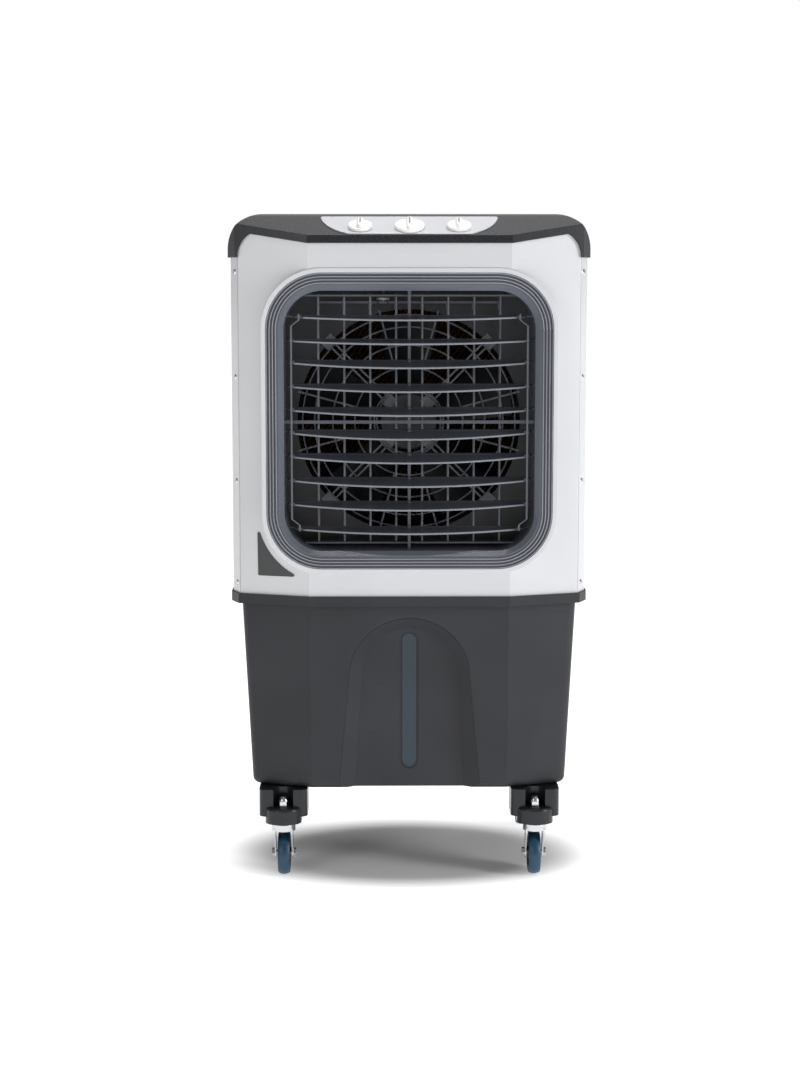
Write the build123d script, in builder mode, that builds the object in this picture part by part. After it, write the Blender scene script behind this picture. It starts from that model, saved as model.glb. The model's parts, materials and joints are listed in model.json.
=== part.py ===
"""Evaporative air cooler on casters: a water tank below, a fan cabinet with a swinging grille above.

Frame: X to the right, Y to the back, Z up, in millimetres, origin on the floor under the middle of the machine.
Every piece is written as its own STEP file in parts/.
"""

import math
import os

from build123d import *

os.makedirs("parts", exist_ok=True)

# ---------------------------------------------------------------- driving dimensions
# Cabinet plan: a flat front facet, two shallow chamfers, a steep strip, straight sides, small rear chamfers.
FRONT = -210.0
FACET_HALF = 169.0
FASCIA_HALF = 288.0
CHAMFER_DEPTH = 43.0
BODY_HALF = 301.0
STRIP_DEPTH = 30.0
REAR = 205.0
REAR_CHAMFER = 25.0
CHAMFER_SLOPE = CHAMFER_DEPTH / (FASCIA_HALF - FACET_HALF)

# Heights
TANK_FLOOR = 155.0
FLANGE_LOW = 475.0
FLANGE_TOP = 492.0
CABINET_LOW = 480.0
SKIRT_LOW = 1059.0
CREST = 1132.0

# Water tank
TANK_WALL = 3.5
TANK_TOP_HALF = 286.0
TANK_LOW_HALF = 270.0
TANK_TOP_FRONT = -198.0
TANK_LOW_FRONT = -186.0
TANK_TOP_REAR = 196.0
TANK_LOW_REAR = 184.0
RECESS_DEPTH = 19.0
WINDOW_WIDTH = 25.0
WINDOW_HEIGHT = 234.0
WINDOW_MID = 306.0

# Top cover: the front of it slopes up to a crest, and its front band stands over the fascia.
COVER_HALF = 306.0
COVER_GROW = 5.0
COVER_CORNER = 60.0
COVER_WALL = 3.0
SLOPE = 24.5
BAND_HEIGHT = 13.0
FASCIA_TOP = 1084.0
FASCIA_CORNER = 46.0

# Outlet: ribbed bezel, duct, louvres and vanes, all about one centre
OUTLET_Z = 786.0
OPEN_WIDTH, OPEN_HEIGHT, OPEN_RADIUS = 420.0, 435.0, 64.0
BEZEL_BORDER = 30.0
RIB_COUNT = 4
RIB_PITCH = 5.2
DUCT_WALL = 3.0
DUCT_FRONT = FRONT + 11.0
DUCT_REAR = FRONT + 118.0

LOUVRE_COUNT = 10
LOUVRE_PITCH = 39.7
LOUVRE_Y = FRONT + 40.0
LOUVRE_REACH = 39.0
LOUVRE_TIP_REACH = 8.0
LOUVRE_BACK = 6.0
LOUVRE_THICK = 2.2
LOUVRE_HALF, LOUVRE_SHORT_HALF = 206.5, 196.0
LOUVRE_SET_ANGLES = (9, 9, 15, 14.5, 15, 17.5, 17, 16, 14.5, 10)
LOUVRE_CRANK = 16.0
PIN_RADIUS = 2.0
CRANK_PIN_RADIUS = 1.5
RUN_GAP = 0.05

VANE_COUNT = 8
VANE_PITCH = 44.0
VANE_Y = FRONT + 68.0
VANE_FRONT_REACH, VANE_REAR_REACH = 10.0, 24.0
VANE_THICK = 2.0
VANE_CRANK = 20.0
RAIL_TOP, RAIL_LOW = 994.0, 578.0
RAIL_THICK = 3.0
TIE_BAR_Z = 984.0
TIE_BAR_SIZE = 4.0
SWING_X = -VANE_PITCH
SWING_Y = VANE_Y + VANE_CRANK
SWING_THROW = 8.45

# Fan
FAN_Z = 780.0
SHROUD_Y = FRONT + 118.0
SHROUD_BORE = 192.0
SHROUD_DEPTH = 90.0
MOTOR_RADIUS = 50.0
MOTOR_LENGTH = 58.0
FAN_RADIUS = 184.0
FAN_HUB_RADIUS = 44.0
BLADE_COUNT = 5
FAN_Y = FRONT + 196.0
GUARD_RINGS = (55.0, 59.5, 93.0, 131.0, 162.0, 183.0)
GUARD_WIRE = 3.0

# Casters
CASTER_X = 216.0
CASTER_Y = 186.0
WHEEL_RADIUS = 37.5
WHEEL_WIDTH = 20.0
CASTER_TRAIL = 22.0
AXLE_RADIUS = 4.0

MIRROR_X = (1, -1)


def save(part, label):
    """Labels a finished piece and writes its STEP file."""
    part.label = label
    export_step(part, f"parts/{label}.step")


# ---------------------------------------------------------------- shared outlines
def cabinet_plan(grow=0.0):
    """The cabinet's outline seen from above, grown on every side."""
    right = [
        (FACET_HALF, FRONT),
        (FASCIA_HALF, FRONT + CHAMFER_DEPTH),
        (BODY_HALF, FRONT + CHAMFER_DEPTH + STRIP_DEPTH),
        (BODY_HALF, REAR - REAR_CHAMFER),
        (BODY_HALF - REAR_CHAMFER, REAR),
    ]
    left = [(-x, y) for x, y in reversed(right)]
    with BuildSketch() as plan:
        with BuildLine():
            Polyline(*right, *left, close=True)
        make_face()
        if grow:
            offset(amount=grow, kind=Kind.INTERSECTION)
    return plan.sketch


def slope_height(y):
    """Height of the fascia's top edge at a given depth, under the cover's sloping front."""
    return FASCIA_TOP + (y - FRONT) * math.tan(math.radians(SLOPE))


def slope_block(lift, low, back=REAR):
    """Everything under the sloping plane that lies lift above the fascia's top edge."""
    front = FRONT - 40
    with BuildPart() as block:
        with BuildSketch(Plane.YZ):
            with BuildLine():
                Polyline(
                    (front, low),
                    (front, slope_height(front) + lift),
                    (back, slope_height(back) + lift),
                    (back, low),
                    close=True,
                )
            make_face()
        extrude(amount=BODY_HALF + 40, both=True)
    return block.part


def shoulder_profile(half, top, corner, low):
    """Front view of a block with two rounded top corners."""
    with BuildSketch(Plane.XZ) as profile:
        with BuildLine():
            Polyline((-half, low), (-half, top), (half, top), (half, low), close=True)
        make_face()
        fillet(profile.vertices().group_by(Axis.Y)[-1], radius=corner)
    return profile.sketch_local


# ---------------------------------------------------------------- water tank
TANK_DRAFT = math.atan2(TANK_LOW_FRONT - TANK_TOP_FRONT, FLANGE_LOW - TANK_FLOOR)
TANK_FACE = Plane(
    origin=(0, TANK_TOP_FRONT, FLANGE_LOW),
    x_dir=(1, 0, 0),
    z_dir=(0, -math.cos(TANK_DRAFT), -math.sin(TANK_DRAFT)),
)


def tank_plan(half, front, rear, inset):
    """The tank's octagon at one level, inset from its outside."""
    corner = 24.0
    right = [
        (FACET_HALF - 1, front),
        (half, front + (half - FACET_HALF + 1) * CHAMFER_SLOPE),
        (half, rear - corner),
        (half - corner, rear),
    ]
    left = [(-x, y) for x, y in reversed(right)]
    with BuildSketch() as plan:
        with BuildLine():
            Polyline(*right, *left, close=True)
        make_face()
        if inset:
            offset(amount=-inset, kind=Kind.INTERSECTION)
    return plan.sketch


def tank_block(inset, floor, side_radius, foot_radius):
    """The tapering body of the tank, as a solid, inset from its outside."""
    with BuildPart() as block:
        with BuildSketch(Plane.XY.offset(floor)):
            add(tank_plan(TANK_LOW_HALF, TANK_LOW_FRONT, TANK_LOW_REAR, inset))
        with BuildSketch(Plane.XY.offset(FLANGE_LOW)):
            add(tank_plan(TANK_TOP_HALF, TANK_TOP_FRONT, TANK_TOP_REAR, inset))
        loft(ruled=True)
        tall = block.edges().filter_by(lambda e: abs((e @ 1).Z - (e @ 0).Z) > 100)
        outer = tall.filter_by(lambda e: abs(e.center().X) > FACET_HALF + 40)
        fillet(outer, radius=side_radius)
        fillet(block.faces().sort_by(Axis.Z)[0].edges(), radius=foot_radius)
    return block.part


def arch(plane, radius, foot_half, top):
    """Arch outline on the tank's leaning front: a half round on two spreading legs."""
    spring = top - radius
    foot = TANK_FLOOR - FLANGE_LOW - 20
    with BuildSketch(plane) as outline:
        with BuildLine():
            Polyline((-radius, spring), (-foot_half, foot), (foot_half, foot), (radius, spring))
            ThreePointArc((-radius, spring), (0, top), (radius, spring))
        make_face()
    return outline.sketch


def arch_recess(grow):
    """The arched hollow in the tank's front, with bevelled sides. grow is the wall behind it."""
    depth = RECESS_DEPTH + grow
    outer_radius, inner_radius = 103.0 + grow, 81.0 + grow
    outer_foot, inner_foot = 123.0 + grow, 95.0 + grow
    outer_top, inner_top = -23.0 + grow, -43.0 + grow
    with BuildPart() as recess:
        add(arch(TANK_FACE.offset(-depth), inner_radius, inner_foot, inner_top))
        add(arch(TANK_FACE, outer_radius, outer_foot, outer_top))
        loft()
        add(arch(TANK_FACE, outer_radius, outer_foot, outer_top))
        extrude(amount=20)
    return recess.part


WINDOW_PLANE = TANK_FACE.offset(-RECESS_DEPTH)
WINDOW_UP = WINDOW_MID - FLANGE_LOW
INLET_X, INLET_Z = -225.0, 420.0
INLET_BORE = 11.0
DRAIN_X, DRAIN_Z = 150.0, 185.0
DRAIN_BORE = 14.0
INLET_FACE, DRAIN_FACE = 197.0, 190.0
BOSS_LENGTH = 11.0


def tank_hollow():
    """The space inside the tank, leaving a wall behind the arched recess."""
    with BuildPart() as hollow:
        add(tank_block(TANK_WALL, TANK_FLOOR + 4, 18 - TANK_WALL, 12 - TANK_WALL))
        add(arch_recess(TANK_WALL), mode=Mode.SUBTRACT)
    return hollow.part


def rear_boss(x, z, radius, back):
    """A round boss with upright faces, standing through the tank's leaning back wall."""
    with BuildPart() as boss:
        with BuildSketch(Plane.XZ.offset(-back)):
            with Locations((x, z)):
                Circle(radius)
        extrude(amount=BOSS_LENGTH)
    return boss.part


def make_tank():
    """Moulded tank: tapered tub, arched recess, level slot, rim that the cabinet stands in."""
    with BuildPart() as tank:
        add(tank_block(0, TANK_FLOOR, 18, 12))
        add(arch_recess(0), mode=Mode.SUBTRACT)
        # Rim: a shelf under the cabinet and a skirt around it
        with BuildSketch(Plane.XY.offset(FLANGE_LOW)):
            add(cabinet_plan(3.5))
        extrude(amount=FLANGE_TOP - FLANGE_LOW)
        with BuildSketch(Plane.XY.offset(CABINET_LOW)):
            add(cabinet_plan(0.3))
        extrude(amount=30, mode=Mode.SUBTRACT)
        with BuildSketch(Plane.XY.offset(FLANGE_LOW)):
            add(tank_plan(TANK_TOP_HALF, TANK_TOP_FRONT, TANK_TOP_REAR, TANK_WALL + 3))
        extrude(amount=30, mode=Mode.SUBTRACT)
        add(tank_hollow(), mode=Mode.SUBTRACT)
        # Level slot with a shallow seat around it
        with BuildSketch(WINDOW_PLANE):
            with Locations((0, WINDOW_UP)):
                SlotOverall(WINDOW_HEIGHT + 7, WINDOW_WIDTH + 7, rotation=90)
        extrude(amount=-1.2, mode=Mode.SUBTRACT)
        with BuildSketch(WINDOW_PLANE):
            with Locations((0, WINDOW_UP)):
                SlotOverall(WINDOW_HEIGHT, WINDOW_WIDTH, rotation=90)
        extrude(amount=-8, mode=Mode.SUBTRACT)
        # Bosses and holes for the water inlet and the drain in the back wall
        add(rear_boss(INLET_X, INLET_Z, 20, INLET_FACE))
        add(rear_boss(DRAIN_X, DRAIN_Z, 22, DRAIN_FACE))
        with BuildSketch(Plane.XZ.offset(-INLET_FACE - 5)):
            with Locations((INLET_X, INLET_Z)):
                Circle(INLET_BORE)
            with Locations((DRAIN_X, DRAIN_Z)):
                Circle(DRAIN_BORE)
        extrude(amount=40, mode=Mode.SUBTRACT)
    return tank.part


def make_level_window():
    """Clear strip in the level slot, with a lip inside the tank."""
    with BuildPart() as window:
        with BuildSketch(WINDOW_PLANE.offset(-TANK_WALL - 2)):
            with Locations((0, WINDOW_UP)):
                SlotOverall(WINDOW_HEIGHT + 8, WINDOW_WIDTH + 8, rotation=90)
        extrude(amount=2)
        with BuildSketch(WINDOW_PLANE.offset(-TANK_WALL - 1)):
            with Locations((0, WINDOW_UP)):
                SlotOverall(WINDOW_HEIGHT - 0.6, WINDOW_WIDTH - 0.6, rotation=90)
        extrude(amount=TANK_WALL + 0.4)
    return window.part


save(make_tank(), "tank")
save(make_level_window(), "level_window")


# ---------------------------------------------------------------- cabinet skins
CABINET_WALL = 2.5
SEAM_GAP = 0.3
WALL_TOP = 1068.0
SIDE_OPENING = (235.0, 506.0)
SIDE_OPENING_MID = (47.5, 777.0)
REAR_OPENING = (430.0, 506.0)
GLAND_X, GLAND_Z = 252.0, 505.0


def plan_ring(wall, low, high):
    """An upright wall all round the cabinet's outline."""
    with BuildPart() as ring:
        with BuildSketch(Plane.XY.offset(low)):
            add(cabinet_plan())
            add(cabinet_plan(-wall), mode=Mode.SUBTRACT)
        extrude(amount=high - low)
    return ring.part


def box_between(low, high):
    """A box from one corner to the other."""
    size = [b - a for a, b in zip(low, high)]
    middle = [(a + b) / 2 for a, b in zip(low, high)]
    return Pos(*middle) * Box(*size, mode=Mode.PRIVATE)


def rounded_prism(width, height, radius, near, far, x=0.0, z=OUTLET_Z):
    """A rounded rectangle seen from the front, run from depth near to depth far."""
    with BuildPart() as prism:
        with BuildSketch(Plane.XZ.offset(-far)):
            with Locations((x, z)):
                RectangleRounded(width, height, radius)
        extrude(amount=far - near)
    return prism.part


def cabinet_panels(near, far):
    """The part of the cabinet's wall between two depths, with its air openings."""
    front_zone = box_between(
        (-FASCIA_HALF, FRONT - 5, CABINET_LOW - 5), (FASCIA_HALF, FRONT + CHAMFER_DEPTH, WALL_TOP + 5)
    )
    with BuildPart() as panels:
        add(plan_ring(CABINET_WALL, CABINET_LOW, WALL_TOP))
        add(front_zone, mode=Mode.SUBTRACT)
        add(
            box_between((-BODY_HALF - 5, near, CABINET_LOW - 5), (BODY_HALF + 5, far, WALL_TOP + 5)),
            mode=Mode.INTERSECT,
        )
        with BuildSketch(Plane.YZ):
            with Locations(SIDE_OPENING_MID):
                RectangleRounded(*SIDE_OPENING, 12)
        extrude(amount=BODY_HALF + 20, both=True, mode=Mode.SUBTRACT)
        with BuildSketch(Plane.XZ.offset(-REAR - 10)):
            with Locations((0, SIDE_OPENING_MID[1])):
                RectangleRounded(*REAR_OPENING, 12)
            with Locations((GLAND_X, GLAND_Z)):
                Circle(6.1)
        extrude(amount=30, mode=Mode.SUBTRACT)
    return panels.part


def make_cabinet():
    """Rear housing in three panels: two side walls with the screw strips, and the back wall."""
    seam = REAR - REAR_CHAMFER
    with BuildPart() as cabinet:
        add(cabinet_panels(FRONT, seam - SEAM_GAP))
        add(cabinet_panels(seam, REAR + 5))
    return cabinet.part


COLLAR_BORDER = 8.0
COLLAR_FRONT = FRONT - 1.5
COLLAR_REAR = FRONT + 34.0
FASCIA_WALL = 3.0
LIP_FRONT = FRONT + 8.0


def outlet_prism(border, near, far):
    """The outlet's rounded rectangle, widened by a border."""
    width, height = OPEN_WIDTH + 2 * border, OPEN_HEIGHT + 2 * border
    return rounded_prism(width, height, OPEN_RADIUS + border, near, far)


def fascia_shape(gap):
    """Everything the fascia covers in front view, under the cover's sloping edge."""
    with BuildPart() as shape:
        with BuildSketch(Plane.XZ.offset(-FRONT - 60)):
            add(shoulder_profile(FASCIA_HALF + gap, SHOULDER_TOP + gap, FASCIA_CORNER + gap, CABINET_LOW))
        extrude(amount=100)
        add(slope_block(0, CABINET_LOW - 5), mode=Mode.INTERSECT)
    return shape.part


SHOULDER_TOP = slope_height(FRONT + CHAMFER_DEPTH) + 1.0


def make_fascia():
    """Front fascia: three facets, and a flat collar that carries the outlet bezel."""
    front_zone = box_between(
        (-FASCIA_HALF, FRONT - 5, CABINET_LOW), (FASCIA_HALF, FRONT + CHAMFER_DEPTH, CREST)
    )
    with BuildPart() as fascia:
        add(plan_ring(FASCIA_WALL, CABINET_LOW, CREST))
        add(front_zone, mode=Mode.INTERSECT)
        add(fascia_shape(0), mode=Mode.INTERSECT)
        add(outlet_prism(BEZEL_BORDER + COLLAR_BORDER, COLLAR_FRONT, COLLAR_REAR))
        fillet(fascia.faces().sort_by(Axis.Y)[0].outer_wire().edges(), radius=1.2)
        add(outlet_prism(BEZEL_BORDER, FRONT - 5, LIP_FRONT), mode=Mode.SUBTRACT)
        add(outlet_prism(BEZEL_BORDER - 6, FRONT, FRONT + 60), mode=Mode.SUBTRACT)
        add(outlet_prism(BEZEL_BORDER + COLLAR_BORDER - FASCIA_WALL, DUCT_FRONT, FRONT + 60), mode=Mode.SUBTRACT)
    return fascia.part


def make_bezel():
    """Outlet bezel: flat frame with concentric ribs, and an inner band sloping in to the opening."""
    rib_depth = 3.6
    floor = COLLAR_FRONT + 0.5 + rib_depth
    band = 10.0
    with BuildPart() as bezel:
        add(outlet_prism(BEZEL_BORDER - 0.3, floor, LIP_FRONT))
        for rib in range(RIB_COUNT):
            outer = BEZEL_BORDER - 0.3 - rib * RIB_PITCH
            add(outlet_prism(outer, floor - rib_depth, floor))
            add(outlet_prism(outer - 2.4, floor - rib_depth, floor), mode=Mode.SUBTRACT)
        # The inner band slopes from the last groove back to the opening
        with BuildSketch(Plane.XZ.offset(-floor)):
            with Locations((0, OUTLET_Z)):
                RectangleRounded(OPEN_WIDTH + 2 * band, OPEN_HEIGHT + 2 * band, OPEN_RADIUS + band)
        with BuildSketch(Plane.XZ.offset(-DUCT_FRONT)):
            with Locations((0, OUTLET_Z)):
                RectangleRounded(OPEN_WIDTH + 6, OPEN_HEIGHT + 6, OPEN_RADIUS + 3)
        loft(ruled=True)
        with BuildSketch(Plane.XZ.offset(-floor + 2)):
            with Locations((0, OUTLET_Z)):
                RectangleRounded(OPEN_WIDTH + 2 * band - 1, OPEN_HEIGHT + 2 * band - 1, OPEN_RADIUS + band)
        with BuildSketch(Plane.XZ.offset(-DUCT_FRONT)):
            with Locations((0, OUTLET_Z)):
                RectangleRounded(OPEN_WIDTH, OPEN_HEIGHT, OPEN_RADIUS)
        loft(ruled=True, mode=Mode.SUBTRACT)
    return bezel.part


def make_accent():
    """Dark curved triangle set on the fascia's left facet, hollowed round the bezel's corner."""
    along = math.hypot(FASCIA_HALF - FACET_HALF, CHAMFER_DEPTH)
    facet = Plane(
        origin=(-FACET_HALF, FRONT, 0),
        x_dir=((FASCIA_HALF - FACET_HALF) / along, -CHAMFER_DEPTH / along, 0),
        z_dir=(-CHAMFER_DEPTH / along, -(FASCIA_HALF - FACET_HALF) / along, 0),
    )
    stretch = along / (FASCIA_HALF - FACET_HALF)
    tip, corner, toe, waist = [
        ((x + FACET_HALF) * stretch, z) for x, z in ((-257, 617), (-256, 524), (-185, 524.5), (-227, 553))
    ]
    with BuildPart() as accent:
        with BuildSketch(facet) as outline:
            with BuildLine():
                Polyline(tip, corner, toe)
                ThreePointArc(toe, waist, tip)
            make_face()
            fillet(outline.vertices(), radius=2.5)
        extrude(amount=1.4)
    return accent.part


save(make_cabinet(), "cabinet")
save(make_fascia(), "front_fascia")
save(make_bezel(), "grille_bezel")
save(make_accent(), "accent_trim")


# ---------------------------------------------------------------- top cover and controls
LEDGE = 1.5
TILT = math.radians(SLOPE)
KNOB_UP = -10.0
KNOBS = (("knob_left", -82.0, 20.5), ("knob_centre", 0.0, 25.0), ("knob_right", 82.0, 20.5))
SHAFT_RADIUS = 3.0
KNOB_HEIGHT = 11.0
PANEL_MID_Y = -179.0
PANEL_THICK = 1.6
SLOPE_PLANE = Plane(
    origin=(0, PANEL_MID_Y, slope_height(PANEL_MID_Y) + BAND_HEIGHT),
    x_dir=(1, 0, 0),
    z_dir=(0, -math.sin(TILT), math.cos(TILT)),
)
SLOPE_NORMAL = Axis(SLOPE_PLANE.origin, SLOPE_PLANE.z_dir)


def crest_profile(lift, top, back, ease):
    """Side view of the space under the cover: the slope, an eased crest, the flat top."""
    start = FRONT - 40
    crest_y = FRONT + (top - lift - FASCIA_TOP) / math.tan(TILT)
    with BuildSketch(Plane.YZ) as profile:
        with BuildLine():
            Polyline(
                (start, SKIRT_LOW - 20),
                (start, slope_height(start) + lift),
                (crest_y, top),
                (back, top),
                (back, SKIRT_LOW - 20),
                close=True,
            )
        make_face()
        fillet(profile.vertices().group_by(Axis.Y)[-1].sort_by(Axis.X)[0], radius=ease)
        fillet(profile.vertices().group_by(Axis.Y)[-1].sort_by(Axis.X)[-1], radius=14)
    return profile.sketch_local


def cover_block(grow, half, lift, top, corner, low, ease):
    """The cover's outside, or the hollow in it, as one solid."""
    with BuildPart() as block:
        with BuildSketch(Plane.XY.offset(low)):
            add(cabinet_plan(grow))
        extrude(amount=top + 10 - low)
        with BuildSketch(Plane.XZ.offset(-REAR - 30)):
            add(shoulder_profile(half, top, corner, low - 10))
        extrude(amount=REAR - FRONT + 80, mode=Mode.INTERSECT)
        with BuildSketch(Plane.YZ):
            add(crest_profile(lift, top, REAR + grow, ease))
        extrude(amount=COVER_HALF + 20, both=True, mode=Mode.INTERSECT)
    return block.part


def make_cover():
    """Top cover: sloping front with a deep edge band, rounded shoulders, skirt down the sides."""
    front_zone = box_between(
        (-COVER_HALF, FRONT - 30, SKIRT_LOW - 30), (COVER_HALF, FRONT + CHAMFER_DEPTH + 12, CREST)
    )
    with BuildPart() as cover:
        add(cover_block(COVER_GROW, COVER_HALF, BAND_HEIGHT, CREST, COVER_CORNER, SKIRT_LOW, 40))
        with BuildSketch(Plane.XY.offset(SKIRT_LOW - 10)):
            add(cabinet_plan(0.3))
        extrude(amount=WALL_TOP - SKIRT_LOW + 10, mode=Mode.SUBTRACT)
        add(
            cover_block(
                -LEDGE,
                COVER_HALF - COVER_WALL,
                BAND_HEIGHT - COVER_WALL,
                CREST - COVER_WALL,
                COVER_CORNER - COVER_WALL,
                WALL_TOP - 5,
                40,
            ),
            mode=Mode.SUBTRACT,
        )
        add(fascia_shape(0.3) & front_zone, mode=Mode.SUBTRACT)
        # Shaft holes
        with BuildSketch(SLOPE_PLANE.offset(10)):
            for _, x, _ in KNOBS:
                with Locations((x, KNOB_UP)):
                    Circle(SHAFT_RADIUS + 1)
        extrude(amount=-30, mode=Mode.SUBTRACT)
    return cover.part


def make_panel():
    """Control panel: a boat-shaped plate lying on the cover's slope."""
    rear_half, front_half, deep = 149.0, 101.0, 72.0
    with BuildPart() as panel:
        with BuildSketch(SLOPE_PLANE) as outline:
            with BuildLine():
                Line((front_half, -deep / 2), (-front_half, -deep / 2))
                ThreePointArc((-front_half, -deep / 2), (-133, -9), (-rear_half, deep / 2))
                Line((-rear_half, deep / 2), (rear_half, deep / 2))
                ThreePointArc((rear_half, deep / 2), (133, -9), (front_half, -deep / 2))
            make_face()
            fillet(outline.vertices().group_by(Axis.Y)[-1], radius=5)
            for _, x, _ in KNOBS:
                with Locations((x, KNOB_UP)):
                    Circle(SHAFT_RADIUS + 1, mode=Mode.SUBTRACT)
        extrude(amount=PANEL_THICK)
        chamfer(panel.faces().sort_by(SLOPE_NORMAL)[-1].outer_wire().edges(), length=0.5)
    return panel.part


def make_switches():
    """Three rotary switches hanging under the cover, shafts up through the panel."""
    under = -COVER_WALL * math.cos(TILT)
    with BuildPart() as switches:
        for _, x, _ in KNOBS:
            with BuildSketch(SLOPE_PLANE.offset(under)):
                with Locations((x, KNOB_UP)):
                    RectangleRounded(32, 30, 3)
            extrude(amount=-20)
            with BuildSketch(SLOPE_PLANE.offset(under - 2)):
                with Locations((x, KNOB_UP)):
                    Circle(SHAFT_RADIUS)
            extrude(amount=KNOB_HEIGHT - 2 - under + 2)
    return switches.part


def make_knob(x, radius):
    """Rotary knob: a low disk with a raised, waisted grip bar, bored blind for its shaft."""
    foot = PANEL_THICK + 0.4
    centre = (x, KNOB_UP)
    grip = 2 * radius - 3
    with BuildPart() as knob:
        with BuildSketch(SLOPE_PLANE.offset(foot)):
            with Locations(centre):
                Circle(radius)
        extrude(amount=5)
        fillet(knob.faces().sort_by(SLOPE_NORMAL)[-1].edges(), radius=1.6)
        with BuildSketch(SLOPE_PLANE.offset(foot + 3)):
            with Locations(centre):
                SlotOverall(grip, 13, rotation=90)
        with BuildSketch(SLOPE_PLANE.offset(foot + KNOB_HEIGHT)):
            with Locations(centre):
                SlotOverall(grip - 6, 8, rotation=90)
        loft()
        fillet(knob.faces().sort_by(SLOPE_NORMAL)[-1].edges(), radius=1.5)
        with BuildSketch(SLOPE_PLANE.offset(foot - 1)):
            with Locations(centre):
                Circle(SHAFT_RADIUS + RUN_GAP)
        extrude(amount=KNOB_HEIGHT - 2, mode=Mode.SUBTRACT)
    return knob.part


save(make_cover(), "top_cover")
save(make_panel(), "control_panel")
save(make_switches(), "rotary_switches")
for knob_name, knob_x, knob_radius in KNOBS:
    save(make_knob(knob_x, knob_radius), knob_name)


# ---------------------------------------------------------------- outlet duct, louvres and vanes
LOUVRE_TOP_EDGE = 955.0
POST_WIDTH, BAR_HEIGHT = 5.0, 5.6
POST_NEAR, POST_FAR = FRONT + 47.0, FRONT + 55.0
BAR_Z = 783.0
CLIP_RADIUS = 4.2
ROD_X, ROD_END_X = 198.0, 185.0
ROD_THICK = 3.0
VANES = [(i - (VANE_COUNT - 1) / 2) * VANE_PITCH for i in range(VANE_COUNT)]


def louvre_axis(index):
    """Height of a louvre's pivot. The front edges are evenly spaced, the set angles aren't."""
    edge = LOUVRE_TOP_EDGE - index * LOUVRE_PITCH
    return edge + LOUVRE_REACH * math.sin(math.radians(LOUVRE_SET_ANGLES[index]))


def is_short(index):
    """The first and last louvres are shorter, to clear the opening's corners."""
    return index in (0, LOUVRE_COUNT - 1)


def duct_slab(low, high, near, far):
    """A flat ledge across the duct, ending in the duct's wall."""
    with BuildPart() as slab:
        add(outlet_prism(DUCT_WALL - 1, near, far))
        add(box_between((-OPEN_WIDTH, near, low), (OPEN_WIDTH, far, high)), mode=Mode.INTERSECT)
    return slab.part


def make_duct():
    """Outlet duct: flanged tube with vane ledges, centre post, cross bar and louvre clips."""
    ledge_near, ledge_far = VANE_Y - 12, VANE_Y + 27
    with BuildPart() as duct:
        add(outlet_prism(DUCT_WALL, DUCT_FRONT, DUCT_REAR))
        add(outlet_prism(BEZEL_BORDER + COLLAR_BORDER - FASCIA_WALL - 0.5, DUCT_FRONT, DUCT_FRONT + 3))
        add(outlet_prism(0, FRONT, DUCT_REAR + 5), mode=Mode.SUBTRACT)
        add(duct_slab(RAIL_TOP, RAIL_TOP + RAIL_THICK, ledge_near, ledge_far))
        add(duct_slab(RAIL_LOW - RAIL_THICK, RAIL_LOW, ledge_near, ledge_far))
        post_top, post_low = OUTLET_Z + OPEN_HEIGHT / 2 + 1, OUTLET_Z - OPEN_HEIGHT / 2 - 1
        add(box_between((-POST_WIDTH / 2, POST_NEAR, post_low), (POST_WIDTH / 2, POST_FAR, post_top)))
        bar_half = OPEN_WIDTH / 2 + 1
        bar_low, bar_high = BAR_Z - BAR_HEIGHT / 2, BAR_Z + BAR_HEIGHT / 2
        add(box_between((-bar_half, POST_NEAR, bar_low), (bar_half, POST_FAR - 2, bar_high)))
        # A clip on the post holds the middle of each louvre's pivot
        for index in range(LOUVRE_COUNT):
            with BuildSketch(Plane.YZ):
                with Locations((LOUVRE_Y, louvre_axis(index))):
                    Circle(CLIP_RADIUS)
                with Locations(((LOUVRE_Y + POST_NEAR + 1) / 2, louvre_axis(index))):
                    Rectangle(POST_NEAR + 1 - LOUVRE_Y, 4)
            extrude(amount=1.5, both=True)
            with BuildSketch(Plane.YZ):
                with Locations((LOUVRE_Y, louvre_axis(index))):
                    Circle(PIN_RADIUS + RUN_GAP)
            extrude(amount=OPEN_WIDTH, both=True, mode=Mode.SUBTRACT)
        # Vane pivots, swing shaft hole
        with BuildSketch(Plane.XY.offset(RAIL_LOW - RAIL_THICK - 1)):
            for x in VANES:
                with Locations((x, VANE_Y)):
                    Circle(PIN_RADIUS + RUN_GAP)
        extrude(amount=RAIL_TOP - RAIL_LOW + 20, mode=Mode.SUBTRACT)
        with BuildSketch(Plane.XY.offset(RAIL_TOP - 1)):
            with Locations((SWING_X, SWING_Y)):
                Circle(5)
        extrude(amount=20, mode=Mode.SUBTRACT)
    return duct.part


def bow_point(half, x, outward):
    """A point on the blade's bowed front edge at x, moved outward along the bow's radius."""
    rise = LOUVRE_REACH - LOUVRE_TIP_REACH
    bow_radius = (half**2 + rise**2) / (2 * rise)
    depth = math.sqrt(bow_radius**2 - x**2)
    grow = (bow_radius + outward) / bow_radius
    return (x * grow, LOUVRE_REACH - bow_radius + depth * grow)


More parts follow.
